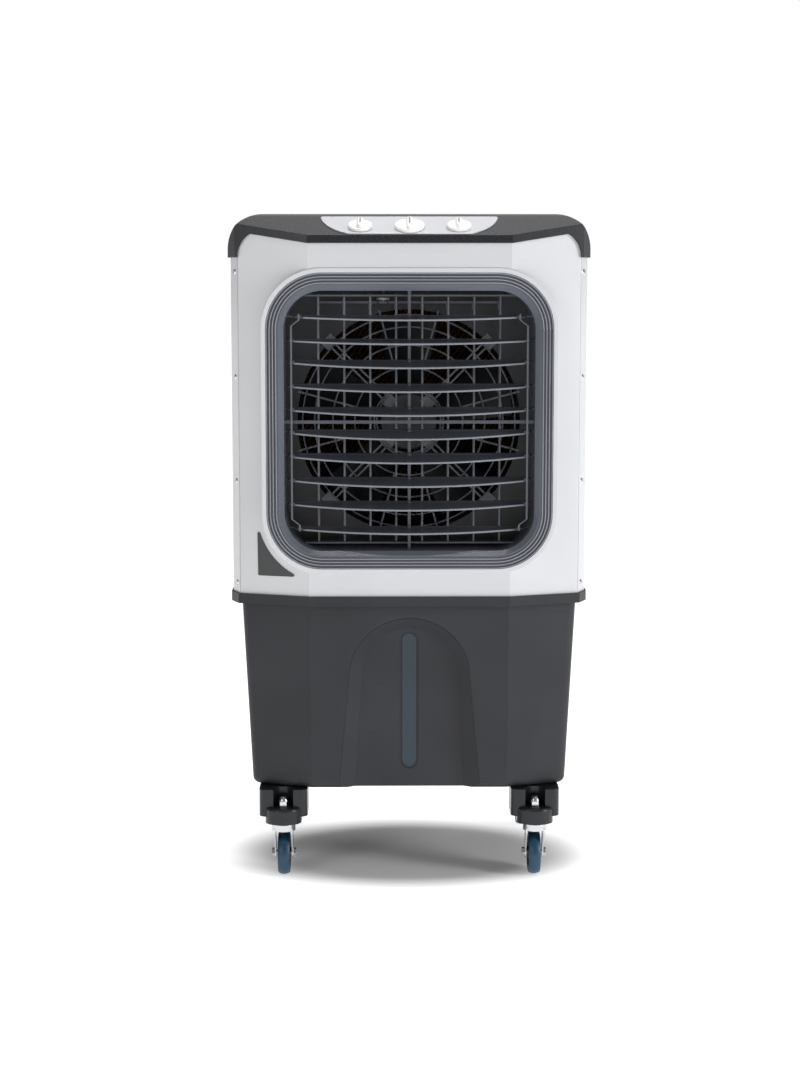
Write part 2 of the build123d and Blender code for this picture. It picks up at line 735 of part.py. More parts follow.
def make_louvre(index):
    """One louvre: flat blade with a bowed front edge and lip, pivot pins and crank ears."""
    half = LOUVRE_SHORT_HALF if is_short(index) else LOUVRE_HALF
    rod_x = ROD_END_X if is_short(index) else ROD_X
    axis_z = louvre_axis(index)
    set_angle = math.radians(LOUVRE_SET_ANGLES[index])
    blade_plane = Plane(
        origin=(0, LOUVRE_Y, axis_z), x_dir=(1, 0, 0), z_dir=(0, math.sin(set_angle), -math.cos(set_angle))
    )
    ear_in, ear_out = rod_x - 4.4, rod_x - 2.2
    pin_reach = 214.5 if not is_short(index) else 212.5
    end_x = half - 12
    with BuildPart() as louvre:
        with BuildSketch(blade_plane) as blade:
            with BuildLine():
                Polyline((-half, LOUVRE_TIP_REACH), (-half, -LOUVRE_BACK), (half, -LOUVRE_BACK),
                         (half, LOUVRE_TIP_REACH))
                ThreePointArc((half, LOUVRE_TIP_REACH), (0, LOUVRE_REACH), (-half, LOUVRE_TIP_REACH))
            make_face()
            fillet(blade.vertices(), radius=4)
            Rectangle(8, 2 * 6.5, mode=Mode.SUBTRACT)
        extrude(amount=LOUVRE_THICK / 2, both=True)
        # Thicker lip along the front edge, as a band between two concentric arcs
        with BuildSketch(blade_plane):
            with BuildLine():
                ThreePointArc(bow_point(half, end_x, 0.4), (0, LOUVRE_REACH + 0.4), bow_point(half, -end_x, 0.4))
                Line(bow_point(half, -end_x, 0.4), bow_point(half, -end_x, -2.4))
                ThreePointArc(bow_point(half, -end_x, -2.4), (0, LOUVRE_REACH - 2.4), bow_point(half, end_x, -2.4))
                Line(bow_point(half, end_x, -2.4), bow_point(half, end_x, 0.4))
            make_face()
        extrude(amount=LOUVRE_THICK / 2 + 0.7, both=True)
        with BuildSketch(Plane.YZ):
            with Locations((LOUVRE_Y, axis_z)):
                Circle(PIN_RADIUS)
        extrude(amount=pin_reach, both=True)
        # Crank ears inside the link rods, with their pins
        for side in MIRROR_X:
            near, far = (ear_in, ear_out) if side > 0 else (-ear_out, -ear_in)
            with BuildSketch(Plane.YZ.offset(near)):
                with Locations((LOUVRE_Y - LOUVRE_CRANK / 2, axis_z)):
                    SlotCenterToCenter(LOUVRE_CRANK, 5)
            extrude(amount=far - near)
            near, far = (ear_out - 1, rod_x + 3) if side > 0 else (-rod_x - 3, 1 - ear_out)
            with BuildSketch(Plane.YZ.offset(near)):
                with Locations((LOUVRE_Y - LOUVRE_CRANK, axis_z)):
                    Circle(CRANK_PIN_RADIUS)
            extrude(amount=far - near)
    return louvre.part


def make_louvre_links():
    """Two link rods that join all the louvres' cranks, cranked inward at both ends."""
    pins = [louvre_axis(index) for index in range(LOUVRE_COUNT)]
    y = LOUVRE_Y - LOUVRE_CRANK
    with BuildPart() as links:
        for side in MIRROR_X:
            top, second, ninth, last = pins[0], pins[1], pins[-2], pins[-1]
            path = [
                (ROD_END_X, top + 4), (ROD_END_X, top - 6), (ROD_X, top - 16),
                (ROD_X, last + 16), (ROD_END_X, last + 6), (ROD_END_X, last - 4),
            ]
            inner = [(side * (x - ROD_THICK / 2), z) for x, z in path]
            outer = [(side * (x + ROD_THICK / 2), z) for x, z in reversed(path)]
            with BuildSketch(Plane.XZ.offset(-y)):
                with BuildLine():
                    Polyline(*inner, *outer, close=True)
                make_face()
            extrude(amount=2.4, both=True)
            for index in range(LOUVRE_COUNT):
                rod_x = ROD_END_X if is_short(index) else ROD_X
                with BuildSketch(Plane.YZ.offset(side * rod_x)):
                    with Locations((y, pins[index])):
                        Circle(CRANK_PIN_RADIUS + RUN_GAP)
                extrude(amount=4, both=True, mode=Mode.SUBTRACT)
    return links.part


def make_vane(x):
    """One upright vane: blade with pivot pins, notched at its top for the tie bar's crank."""
    low, high = RAIL_LOW + 1, RAIL_TOP - 1
    notch = TIE_BAR_Z - 9
    with BuildPart() as vane:
        with BuildSketch(Plane.YZ):
            with BuildLine():
                Polyline(
                    (VANE_Y - VANE_FRONT_REACH, low),
                    (VANE_Y + VANE_REAR_REACH, low),
                    (VANE_Y + VANE_REAR_REACH, notch),
                    (VANE_Y + 7, notch),
                    (VANE_Y + 7, high),
                    (VANE_Y - VANE_FRONT_REACH, high),
                    close=True,
                )
            make_face()
        extrude(amount=VANE_THICK / 2, both=True)
        with BuildSketch(Plane.XY.offset(RAIL_LOW - RAIL_THICK - 1)):
            with Locations((0, VANE_Y)):
                Circle(PIN_RADIUS)
        extrude(amount=RAIL_TOP - RAIL_LOW + 2 * RAIL_THICK + 2)
        with BuildSketch(Plane.XY.offset(notch - 3)):
            with Locations((0, VANE_Y + VANE_CRANK)):
                Circle(3.2)
        extrude(amount=TIE_BAR_Z - TIE_BAR_SIZE / 2 - 0.4 - notch + 3)
        with BuildSketch(Plane.XY.offset(notch)):
            with Locations((0, VANE_Y + VANE_CRANK)):
                Circle(CRANK_PIN_RADIUS)
        extrude(amount=TIE_BAR_Z + TIE_BAR_SIZE / 2 - 0.3 - notch)
    return Pos(x, 0, 0) * vane.part


def make_tie_bar():
    """Tie bar across the vanes' cranks, with a slot for the swing crank's pin."""
    y = VANE_Y + VANE_CRANK
    low = TIE_BAR_Z - TIE_BAR_SIZE / 2
    with BuildPart() as bar:
        with BuildSketch(Plane.XY.offset(low)):
            with Locations((0, y)):
                SlotOverall(2 * VANES[-1] + 9, 8)
            with Locations((SWING_X, y)):
                RectangleRounded(16, 28, 3)
            for x in VANES:
                with Locations((x, y)):
                    Circle(CRANK_PIN_RADIUS + RUN_GAP, mode=Mode.SUBTRACT)
            with Locations((SWING_X, y)):
                SlotOverall(23, 5, rotation=90, mode=Mode.SUBTRACT)
        extrude(amount=TIE_BAR_SIZE)
    return bar.part


def make_swing_motor():
    """Slow synchronous motor on top of the duct, its shaft reaching down to the crank."""
    seat = OUTLET_Z + OPEN_HEIGHT / 2 + DUCT_WALL
    with BuildPart() as motor:
        with BuildSketch(Plane.XY.offset(seat)):
            with Locations((SWING_X, SWING_Y)):
                Circle(25)
                RectangleRounded(70, 12, 5)
        extrude(amount=2)
        with BuildSketch(Plane.XY.offset(seat)):
            with Locations((SWING_X, SWING_Y)):
                Circle(24)
        extrude(amount=16)
        with BuildSketch(Plane.XY.offset(SWING_DISC_LOW)):
            with Locations((SWING_X, SWING_Y)):
                Circle(3)
        extrude(amount=seat + 1 - SWING_DISC_LOW)
    return motor.part


def make_swing_crank():
    """Crank disc on the swing motor's shaft; its pin points down at the tie bar's slot."""
    with BuildPart() as crank:
        with BuildSketch(Plane.XY.offset(SWING_DISC_LOW)):
            with Locations((SWING_X, SWING_Y)):
                Circle(11)
                Circle(3 + RUN_GAP, mode=Mode.SUBTRACT)
        extrude(amount=4)
        with BuildSketch(Plane.XY.offset(SWING_DISC_LOW + 1)):
            with Locations((SWING_X, SWING_Y - SWING_THROW)):
                Circle(2)
        extrude(amount=-(SWING_DISC_LOW + 1 - TIE_BAR_Z - TIE_BAR_SIZE / 2 - 0.4))
    return crank.part


SWING_DISC_LOW = TIE_BAR_Z + TIE_BAR_SIZE / 2 + 2.0

save(make_duct(), "outlet_duct")
for number in range(LOUVRE_COUNT):
    save(make_louvre(number), f"louvre_{number + 1:02d}")
save(make_louvre_links(), "louvre_links")
for number, vane_x in enumerate(VANES):
    save(make_vane(vane_x), f"vane_{number + 1}")
save(make_tie_bar(), "vane_tie_bar")
save(make_swing_motor(), "swing_motor")
save(make_swing_crank(), "swing_crank")


# ---------------------------------------------------------------- fan, shroud and guard
PLATE_THICK = 3.0
MOTOR_SHAFT = 6.0
DOUBLE_SPOKE_GAP = 9.0
SPOKE_THICK = 2.4
WING_RADIUS = 196.0


def facing(y):
    """A plane seen from the front at depth y, centred on the fan; extrusions run to the back."""
    return Plane(origin=(0, y, FAN_Z), x_dir=(-1, 0, 0), z_dir=(0, 1, 0))


def make_shroud():
    """Fan shroud: bulkhead plate across the cabinet with a round throat and stiffening ribs."""
    half = BODY_HALF - CABINET_WALL
    with BuildPart() as shroud:
        add(box_between((-half, SHROUD_Y, CABINET_LOW), (half, SHROUD_Y + PLATE_THICK, WALL_TOP - 6)))
        with BuildSketch(facing(SHROUD_Y)):
            Circle(SHROUD_BORE + 3)
        extrude(amount=SHROUD_DEPTH)
        # Stiffening ribs in the corners round the throat
        for rib_x in (176, 188, 200):
            for side in MIRROR_X:
                low, high = CABINET_LOW + 60, WALL_TOP - 60
                add(box_between(
                    (side * rib_x - 1.5, SHROUD_Y + 1, low), (side * rib_x + 1.5, SHROUD_Y + 12, high)
                ))
        with BuildSketch(facing(SHROUD_Y - 1)):
            Circle(SHROUD_BORE)
        extrude(amount=SHROUD_DEPTH + 10, mode=Mode.SUBTRACT)
    return shroud.part


def make_guard():
    """Wire fan guard: rings on straight spokes, with paired spokes on the diagonals."""
    spoke_mid = SHROUD_Y - SPOKE_THICK / 2
    ring_mid = SHROUD_Y - SPOKE_THICK - GUARD_WIRE / 2 + 0.5
    with BuildPart() as guard:
        for angle in (45, 135, 225, 315):
            with BuildSketch(facing(spoke_mid - SPOKE_THICK / 2)):
                with Locations(Rotation(0, 0, angle)):
                    for side in MIRROR_X:
                        with Locations(((GUARD_RINGS[0] - 17 + WING_RADIUS) / 2, side * DOUBLE_SPOKE_GAP / 2)):
                            Rectangle(WING_RADIUS - GUARD_RINGS[0] + 17, 3)
                    with Locations((WING_RADIUS - 4, 0)):
                        Rectangle(20, 24)
                    with Locations((GUARD_RINGS[0] - 6, 0)):
                        Rectangle(22, 22)
            extrude(amount=SPOKE_THICK)
        for quarter in (0, 90, 180, 270):
            for lean in (-15, 15):
                with BuildSketch(facing(spoke_mid - SPOKE_THICK / 2)):
                    with Locations(Rotation(0, 0, quarter + lean)):
                        with Locations(((GUARD_RINGS[2] + WING_RADIUS) / 2, 0)):
                            Rectangle(WING_RADIUS - GUARD_RINGS[2] + 2, 3)
                extrude(amount=SPOKE_THICK)
        for radius in GUARD_RINGS:
            with BuildSketch(Plane.YZ):
                with Locations((ring_mid, FAN_Z + radius)):
                    Circle(GUARD_WIRE / 2)
            revolve(axis=Axis((0, 0, FAN_Z), (0, 1, 0)))
    return guard.part


def make_motor():
    """Fan motor held by the guard's inner brackets, shaft to the back."""
    with BuildPart() as motor:
        with BuildSketch(facing(SHROUD_Y)):
            Circle(MOTOR_RADIUS)
        extrude(amount=MOTOR_LENGTH)
        fillet(motor.edges().filter_by(GeomType.CIRCLE), radius=5)
        with BuildSketch(facing(SHROUD_Y + MOTOR_LENGTH - 1)):
            Circle(14)
        extrude(amount=6)
        with BuildSketch(facing(SHROUD_Y + MOTOR_LENGTH)):
            Circle(MOTOR_SHAFT)
        extrude(amount=48)
    return motor.part


def blade_section(radius, chord, pitch):
    """A fan blade's section at one radius, on a plane square to the radius."""
    plane = Plane(origin=(0, FAN_Y, FAN_Z + radius), x_dir=(1, 0, 0), z_dir=(0, 0, 1)).rotated((0, 0, pitch))
    with BuildSketch(plane) as section:
        with BuildLine():
            Spline((-chord / 2, 0), (0, chord * 0.09), (chord / 2, 0))
            Spline((chord / 2, 0), (0, chord * 0.09 - 3.5), (-chord / 2, 0))
        make_face()
    return section.sketch


def make_fan_blade():
    """One twisted fan blade, from inside the hub's skirt to the tip."""
    with BuildPart() as blade:
        add(blade_section(FAN_HUB_RADIUS - 2.5, 56, 42))
        add(blade_section(110, 92, 30))
        add(blade_section(FAN_RADIUS + 6, 118, 22))
        loft()
        with BuildSketch(facing(FAN_Y - 60)):
            Circle(FAN_RADIUS)
        extrude(amount=120, mode=Mode.INTERSECT)
    return blade.part


def make_rotor():
    """Axial fan rotor: cupped hub with a shaft boss and five twisted blades."""
    near, far = FAN_Y - 20, FAN_Y + 20
    blade = make_fan_blade()
    with BuildPart() as rotor:
        with BuildSketch(facing(near)):
            Circle(FAN_HUB_RADIUS)
        extrude(amount=far - near)
        fillet(rotor.faces().sort_by(Axis.Y)[-1].edges(), radius=6)
        with BuildSketch(facing(near - 1)):
            Circle(FAN_HUB_RADIUS - 4)
        extrude(amount=10, mode=Mode.SUBTRACT)
        with BuildSketch(facing(near + 8)):
            Circle(FAN_HUB_RADIUS - 4)
            Circle(11, mode=Mode.SUBTRACT)
        extrude(amount=far - near - 14, mode=Mode.SUBTRACT)
        for turn in range(BLADE_COUNT):
            centre_turn = Pos(0, 0, FAN_Z) * Rotation(0, 360 * turn / BLADE_COUNT, 0) * Pos(0, 0, -FAN_Z)
            add(centre_turn * blade)
        with BuildSketch(facing(near - 5)):
            Circle(MOTOR_SHAFT + RUN_GAP)
        extrude(amount=SHROUD_Y + MOTOR_LENGTH + 48 + 0.4 - near + 5, mode=Mode.SUBTRACT)
    return rotor.part


save(make_shroud(), "fan_shroud")
save(make_guard(), "fan_guard")
save(make_motor(), "fan_motor")
save(make_rotor(), "fan_rotor")


# ---------------------------------------------------------------- wet side: pads, grilles, water path
PAD_THICK = 45.0
PAD_LOW, PAD_HIGH = CABINET_LOW, 1035.0
TRAY_HIGH = 1050.0
PUMP_X, PUMP_Y = 195.0, 125.0
HOSE_X, HOSE_Y = 241.0, 177.0
HOSE_OUTER, HOSE_INNER = 7.5, 5.5
ARM_X = INLET_X
ARM_Y, ARM_Z = 152.0, 404.0
STUB_RADIUS = 10.48
STUB_END = 215.0
SLAT_PITCH = 22.0


def make_pads():
    """Three evaporative pads: one behind each side opening, one behind the back opening."""
    inner = BODY_HALF - CABINET_WALL
    y_mid, span = SIDE_OPENING_MID[0], SIDE_OPENING[0] + 12
    rear = REAR - CABINET_WALL
    half = REAR_OPENING[0] / 2 + 8
    with BuildPart() as pads:
        add(box_between((inner - PAD_THICK, y_mid - span / 2, PAD_LOW), (inner, y_mid + span / 2 - 18, PAD_HIGH)))
        add(box_between((-inner, y_mid - span / 2, PAD_LOW), (PAD_THICK - inner, y_mid + span / 2 - 18, PAD_HIGH)))
        add(box_between((-half, rear - PAD_THICK, PAD_LOW), (half, rear, PAD_HIGH)))
    return pads.part


def make_distributor():
    """Water distributor: an open drip channel standing on top of the three pads."""
    inner = BODY_HALF - CABINET_WALL - 1
    y_near = SIDE_OPENING_MID[0] - SIDE_OPENING[0] / 2 - 6
    rear = REAR - CABINET_WALL - 1
    width = PAD_THICK - 1

    def channel(border, low):
        outer = [
            (inner - border, y_near + border), (inner - border, rear - 24), (inner - 24, rear - border),
            (24 - inner, rear - border), (border - inner, rear - 24), (border - inner, y_near + border),
            (width - inner - border, y_near + border), (width - inner - border, rear - width + border),
            (inner - width + border, rear - width + border), (inner - width + border, y_near + border),
        ]
        with BuildPart() as strip:
            with BuildSketch(Plane.XY.offset(low)):
                with BuildLine():
                    Polyline(*outer, close=True)
                make_face()
            extrude(amount=TRAY_HIGH - low)
        return strip.part

    with BuildPart() as tray:
        add(channel(0, PAD_HIGH))
        add(channel(2, PAD_HIGH + 2), mode=Mode.SUBTRACT)
        with BuildSketch(Plane.XY.offset(PAD_HIGH - 1)):
            with GridLocations(2 * (inner - width / 2), 20, 2, 9):
                with Locations((0, SIDE_OPENING_MID[0] - 15)):
                    Circle(2)
            with Locations((0, rear - width / 2)):
                with GridLocations(24, 1, 17, 1):
                    Circle(2)
            with Locations((HOSE_X, HOSE_Y)):
                Circle(HOSE_OUTER + 0.1)
        extrude(amount=6, mode=Mode.SUBTRACT)
    return tray.part


def make_pump():
    """Submersible pump standing on the tank floor: strainer foot, body, outlet spigot."""
    floor = TANK_FLOOR + 4
    with BuildPart() as pump:
        with BuildSketch(Plane.XY.offset(floor)):
            with Locations((PUMP_X, PUMP_Y)):
                Circle(34)
        extrude(amount=14)
        with BuildSketch(Plane.XY.offset(floor + 14)):
            with Locations((PUMP_X, PUMP_Y)):
                Circle(29)
        extrude(amount=46)
        fillet(pump.faces().sort_by(Axis.Z)[-1].edges(), radius=5)
        with BuildSketch(Plane.XY.offset(floor + 59)):
            with Locations((PUMP_X, PUMP_Y)):
                Circle(HOSE_INNER - 0.4)
        extrude(amount=12)
    return pump.part


def make_hose():
    """Riser hose from the pump's spigot up through the back corner to the distributor."""
    start = TANK_FLOOR + 4 + 61
    with BuildPart() as hose:
        with BuildLine() as path:
            Spline(
                (PUMP_X, PUMP_Y, start),
                (PUMP_X, PUMP_Y, start + 30),
                ((PUMP_X + HOSE_X) / 2, (PUMP_Y + HOSE_Y) / 2, start + 110),
                (HOSE_X, HOSE_Y, start + 190),
                (HOSE_X, HOSE_Y, start + 240),
                tangents=[(0, 0, 1), (0, 0, 1)],
            )
            Line((HOSE_X, HOSE_Y, start + 240), (HOSE_X, HOSE_Y, PAD_HIGH + 8))
        with BuildSketch(Plane.XY.offset(start)):
            with Locations((PUMP_X, PUMP_Y)):
                Circle(HOSE_OUTER)
                Circle(HOSE_INNER, mode=Mode.SUBTRACT)
        sweep(path=path.wire())
    return hose.part


def make_float_valve():
    """Water inlet: threaded stub and flange outside the tank, nut, valve body and ears inside."""
    inner_face = INLET_FACE - BOSS_LENGTH
    centre = (INLET_X, INLET_Z)
    with BuildPart() as valve:
        with BuildSketch(Plane.XZ.offset(-STUB_END)):
            with Locations(centre):
                Circle(STUB_RADIUS)
        extrude(amount=STUB_END - inner_face + 10)
        with BuildSketch(Plane.XZ.offset(-INLET_FACE - 5)):
            with Locations(centre):
                RegularPolygon(17, 6)
        extrude(amount=5)
        with BuildSketch(Plane.XZ.offset(-inner_face)):
            with Locations(centre):
                RegularPolygon(17, 6)
        extrude(amount=7)
        with BuildSketch(Plane.XZ.offset(-STUB_END - 1)):
            with Locations(centre):
                Circle(6)
        extrude(amount=STUB_END - inner_face, mode=Mode.SUBTRACT)
        add(box_between((INLET_X - 12, ARM_Y - 2, ARM_Z + 6), (INLET_X + 12, inner_face - 6, INLET_Z + 12)))
        # Two ears with the float arm's pin between them
        for side in MIRROR_X:
            with BuildSketch(Plane.YZ.offset(ARM_X + side * 8)):
                with Locations((ARM_Y + 4, ARM_Z)):
                    Circle(6)
                with Locations((ARM_Y + 4, ARM_Z + 6)):
                    Rectangle(12, 12)
            extrude(amount=2, both=True)
        with BuildSketch(Plane.YZ.offset(ARM_X)):
            with Locations((ARM_Y + 4, ARM_Z)):
                Circle(PIN_RADIUS)
        extrude(amount=9, both=True)
    return valve.part


def make_float_arm():
    """Float arm: eye on the valve's pin, flat arm, round float at its end."""
    pivot = (ARM_Y + 4, ARM_Z)
    float_y, float_z = ARM_Y - 100, ARM_Z - 14
    with BuildPart() as arm:
        with BuildSketch(Plane.YZ.offset(ARM_X)):
            with Locations(pivot):
                Circle(4.6)
            with BuildLine():
                Polyline(
                    (pivot[0], pivot[1] + 2.5), (float_y, float_z + 3), (float_y, float_z - 3),
                    (pivot[0], pivot[1] - 2.5), close=True,
                )
            make_face()
        extrude(amount=4, both=True)
        with BuildSketch(Plane.YZ.offset(ARM_X)):
            with Locations((float_y, float_z)):
                Circle(26)
        extrude(amount=30, both=True)
        fillet(arm.edges().filter_by(GeomType.CIRCLE).filter_by(lambda e: e.radius > 20), radius=8)
        with BuildSketch(Plane.YZ.offset(ARM_X)):
            with Locations(pivot):
                Circle(PIN_RADIUS + RUN_GAP)
        extrude(amount=20, both=True, mode=Mode.SUBTRACT)
    return arm.part


def make_drain_plug():
    """Drain plug: ribbed cap outside the tank on a plain shank through the boss."""
    with BuildPart() as plug:
        with BuildSketch(Plane.XZ.offset(-DRAIN_FACE - 12)):
            with Locations((DRAIN_X, DRAIN_Z)):
                Circle(19)
        extrude(amount=11.8)
        chamfer(plug.faces().sort_by(Axis.Y)[-1].edges(), length=1.5)
        with BuildSketch(Plane.XZ.offset(-DRAIN_FACE - 20)):
            with Locations((DRAIN_X, DRAIN_Z)):
                with PolarLocations(19, 12):
                    Circle(2.2)
        extrude(amount=20, mode=Mode.SUBTRACT)
        with BuildSketch(Plane.XZ.offset(-DRAIN_FACE - 2)):
            with Locations((DRAIN_X, DRAIN_Z)):
                Circle(DRAIN_BORE - RUN_GAP)
        extrude(amount=BOSS_LENGTH + 4)
    return plug.part


def slatted_grille(width, height, thick, border):
    """A flat frame filled with leaning slats, lying in X-Z with its front at y = 0."""
    with BuildPart() as grille:
        with BuildSketch(Plane.XZ.offset(-thick)):
            RectangleRounded(width, height, 14)
        extrude(amount=thick)
        with BuildSketch(Plane.XZ.offset(-thick - 1)):
            RectangleRounded(width - 2 * border, height - 2 * border, 6)
        extrude(amount=thick + 2, mode=Mode.SUBTRACT)
        inner_w, inner_h = width - 2 * border + 2, height - 2 * border
        count = int(inner_h // SLAT_PITCH)
        for slat in range(count):
            z = (slat - (count - 1) / 2) * SLAT_PITCH
            with BuildSketch(Plane.YZ):
                with BuildLine():
                    Polyline((0.5, z + 5), (thick - 0.5, z - 6), (thick - 0.5, z - 8), (0.5, z + 3), close=True)
                make_face()
            extrude(amount=inner_w / 2, both=True)
        for x in (-inner_w / 6, inner_w / 6):
            add(box_between((x - 1.5, 0, 1 - height / 2), (x + 1.5, 2, height / 2 - 1)))
    return grille.part


def make_side_grilles():
    """Two slatted side grilles, one on each side wall."""
    frame = slatted_grille(SIDE_OPENING[0] + 14, SIDE_OPENING[1] + 14, 4.5, 14)
    y_mid, z_mid = SIDE_OPENING_MID
    with BuildPart() as grilles:
        add(Pos(BODY_HALF, y_mid, z_mid) * Rotation(0, 0, -90) * frame)
        add(Pos(-BODY_HALF, y_mid, z_mid) * Rotation(0, 0, 90) * frame)
    return grilles.part


def make_rear_grille():
    """Slatted back grille that lifts away from the back wall, with a finger pull on each side."""
    width, height = REAR_OPENING[0] + 16, REAR_OPENING[1] + 16
    frame = slatted_grille(width, height, 8, 16)
    with BuildPart() as grille:
        add(Pos(0, REAR, SIDE_OPENING_MID[1]) * frame)
    return grille.part


def make_gland():
    """Cable gland through the back wall: hex flange, domed nut, bore for a lead."""
    with BuildPart() as gland:
        with BuildSketch(Plane.XZ.offset(-REAR - 8)):
            with Locations((GLAND_X, GLAND_Z)):
                Circle(8.5)
        extrude(amount=8)
        with BuildSketch(Plane.XZ.offset(-REAR - 3)):
            with Locations((GLAND_X, GLAND_Z)):
                RegularPolygon(10.5, 6)
        extrude(amount=3)
        with BuildSketch(Plane.XZ.offset(-REAR - 1)):
            with Locations((GLAND_X, GLAND_Z)):
                Circle(6)
        extrude(amount=12)
        with BuildSketch(Plane.XZ.offset(-REAR - 10)):
            with Locations((GLAND_X, GLAND_Z)):
                Circle(3.6)
        extrude(amount=30, mode=Mode.SUBTRACT)
    return gland.part


SCREW_HEIGHTS = (1035, 859, 683, 509)


def make_screws():
    """Pan-head screws down both side strips, holding the fascia to the cabinet."""
    across = math.hypot(STRIP_DEPTH, BODY_HALF - FASCIA_HALF)
    out_x, out_y = STRIP_DEPTH / across, -(BODY_HALF - FASCIA_HALF) / across
    x, y = FASCIA_HALF + 5, FRONT + CHAMFER_DEPTH + 5 * STRIP_DEPTH / (BODY_HALF - FASCIA_HALF)
    with BuildPart() as screws:
        for z in SCREW_HEIGHTS:
            for side in MIRROR_X:
                seat = Plane(origin=(side * x, y, z), x_dir=(0, 0, 1), z_dir=(side * out_x, out_y, 0))
                with BuildSketch(seat):
                    Circle(4.5)
                with BuildSketch(seat.offset(2.4)):
                    Circle(3.2)
                loft()
                with BuildSketch(seat.offset(3)):
                    Rectangle(3.6, 0.9)
                    Rectangle(0.9, 3.6)
                extrude(amount=-1.6, mode=Mode.SUBTRACT)
                with BuildSketch(seat.offset(0.2)):
                    Circle(1.6)
                extrude(amount=-9)
    return screws.part


save(make_pads(), "cooling_pads")
save(make_distributor(), "water_distributor")
save(make_pump(), "water_pump")
save(make_hose(), "water_hose")
save(make_float_valve(), "float_valve")
save(make_float_arm(), "float_arm")
save(make_drain_plug(), "drain_plug")
save(make_side_grilles(), "side_grilles")
save(make_rear_grille(), "rear_grille")
save(make_gland(), "cord_gland")
save(make_screws(), "fascia_screws")


# ---------------------------------------------------------------- casters
BRACKET_HALF, BRACKET_LOW = 41.5, 108.0
BOSS_LOW, BOSS_HIGH, BOSS_RADIUS = 97.0, 125.0, 26.0
BRACKET_NEAR, BRACKET_FAR = -8.0, 70.0
RACE_LOW, RACE_RADIUS = 84.0, 20.5
KING_RADIUS = 6.0
LEG_IN, LEG_OUT = 13.2, 16.0
CORNERS = (
    ("front_left", -CASTER_X, -CASTER_Y, 1),
    ("front_right", CASTER_X, -CASTER_Y, 1),
    ("rear_left", -CASTER_X, CASTER_Y, -1),
    ("rear_right", CASTER_X, CASTER_Y, -1),
)


def make_bracket():
    """Moulded caster bracket at the origin: block under the tank, round boss out in front."""
    with BuildPart() as bracket:
        add(box_between((-BRACKET_HALF, BRACKET_NEAR, BRACKET_LOW), (BRACKET_HALF, BRACKET_FAR, TANK_FLOOR)))
        fillet(bracket.edges().filter_by(Axis.Z), radius=12)
        with BuildSketch(Plane.XY.offset(BOSS_LOW)):
            Ellipse(31, BOSS_RADIUS)
            with Locations((0, 15)):
                Rectangle(62, 30)
        extrude(amount=BOSS_HIGH - BOSS_LOW)
        top_rim = bracket.faces().filter_by(Plane.XY).group_by(Axis.Z)[-2].edges().filter_by(GeomType.ELLIPSE)
        fillet(top_rim, radius=5)
        # Room for the acorn nut in front of the block
        with BuildSketch(Plane.XY.offset(BOSS_HIGH)):
            Circle(17)
            with Locations((0, -15)):
                Rectangle(34, 30)
        extrude(amount=60, mode=Mode.SUBTRACT)
        with BuildSketch(Plane.XY.offset(BOSS_LOW - 1)):
            Circle(KING_RADIUS + RUN_GAP)
        extrude(amount=80, mode=Mode.SUBTRACT)
    return bracket.part


def make_caster_bolt():
    """Kingpin at the origin: hex with a domed top on the boss, plain shank, retaining collar."""
    with BuildPart() as bolt:
        with BuildSketch(Plane.XY.offset(BOSS_HIGH)):
            RegularPolygon(11, 6)
        extrude(amount=9)
        with BuildSketch(Plane.XZ):
            with BuildLine():
                Line((0, BOSS_HIGH + 8), (9, BOSS_HIGH + 8))
                Line((9, BOSS_HIGH + 8), (9, BOSS_HIGH + 9))
                RadiusArc((9, BOSS_HIGH + 9), (0, BOSS_HIGH + 18), -9)
                Line((0, BOSS_HIGH + 18), (0, BOSS_HIGH + 8))
            make_face()
        revolve(axis=Axis.Z)
        with BuildSketch(Plane.XY.offset(RACE_LOW - 3.4)):
            Circle(KING_RADIUS)
        extrude(amount=BOSS_HIGH - RACE_LOW + 4)
        with BuildSketch(Plane.XY.offset(RACE_LOW - 3.4)):
            Circle(9)
        extrude(amount=3)
    return bolt.part


def make_fork():
    """Caster fork at the origin: swivel race, yoke plate, two tapering legs, axle bolt."""
    with BuildPart() as fork:
        with BuildSketch(Plane.XY.offset(RACE_LOW)):
            Circle(RACE_RADIUS)
        extrude(amount=BOSS_LOW - 0.3 - RACE_LOW)
        fillet(fork.faces().sort_by(Axis.Z)[-1].edges(), radius=2)
        for side in MIRROR_X:
            near, far = (LEG_IN, LEG_OUT) if side > 0 else (-LEG_OUT, -LEG_IN)
            with BuildSketch(Plane.YZ.offset(near)):
                with BuildLine():
                    Polyline(
                        (-15, RACE_LOW + 4), (-15, RACE_LOW - 4), (CASTER_TRAIL - 9, WHEEL_RADIUS),
                        (CASTER_TRAIL + 9, WHEEL_RADIUS), (19, RACE_LOW - 4), (15, RACE_LOW + 4),
                        close=True,
                    )
                make_face()
                with Locations((CASTER_TRAIL, WHEEL_RADIUS)):
                    Circle(10)
            extrude(amount=far - near)
            near = LEG_OUT - 0.5 if side > 0 else 0.5 - LEG_OUT
            with BuildSketch(Plane.YZ.offset(near)):
                with Locations((CASTER_TRAIL, WHEEL_RADIUS)):
                    RegularPolygon(8, 6)
            extrude(amount=side * 5.5)
        with BuildSketch(Plane.YZ):
            with Locations((CASTER_TRAIL, WHEEL_RADIUS)):
                Circle(AXLE_RADIUS)
        extrude(amount=LEG_OUT, both=True)
        with BuildSketch(Plane.XY.offset(RACE_LOW - 1)):
            Circle(KING_RADIUS + RUN_GAP)
        extrude(amount=20, mode=Mode.SUBTRACT)
    return fork.part


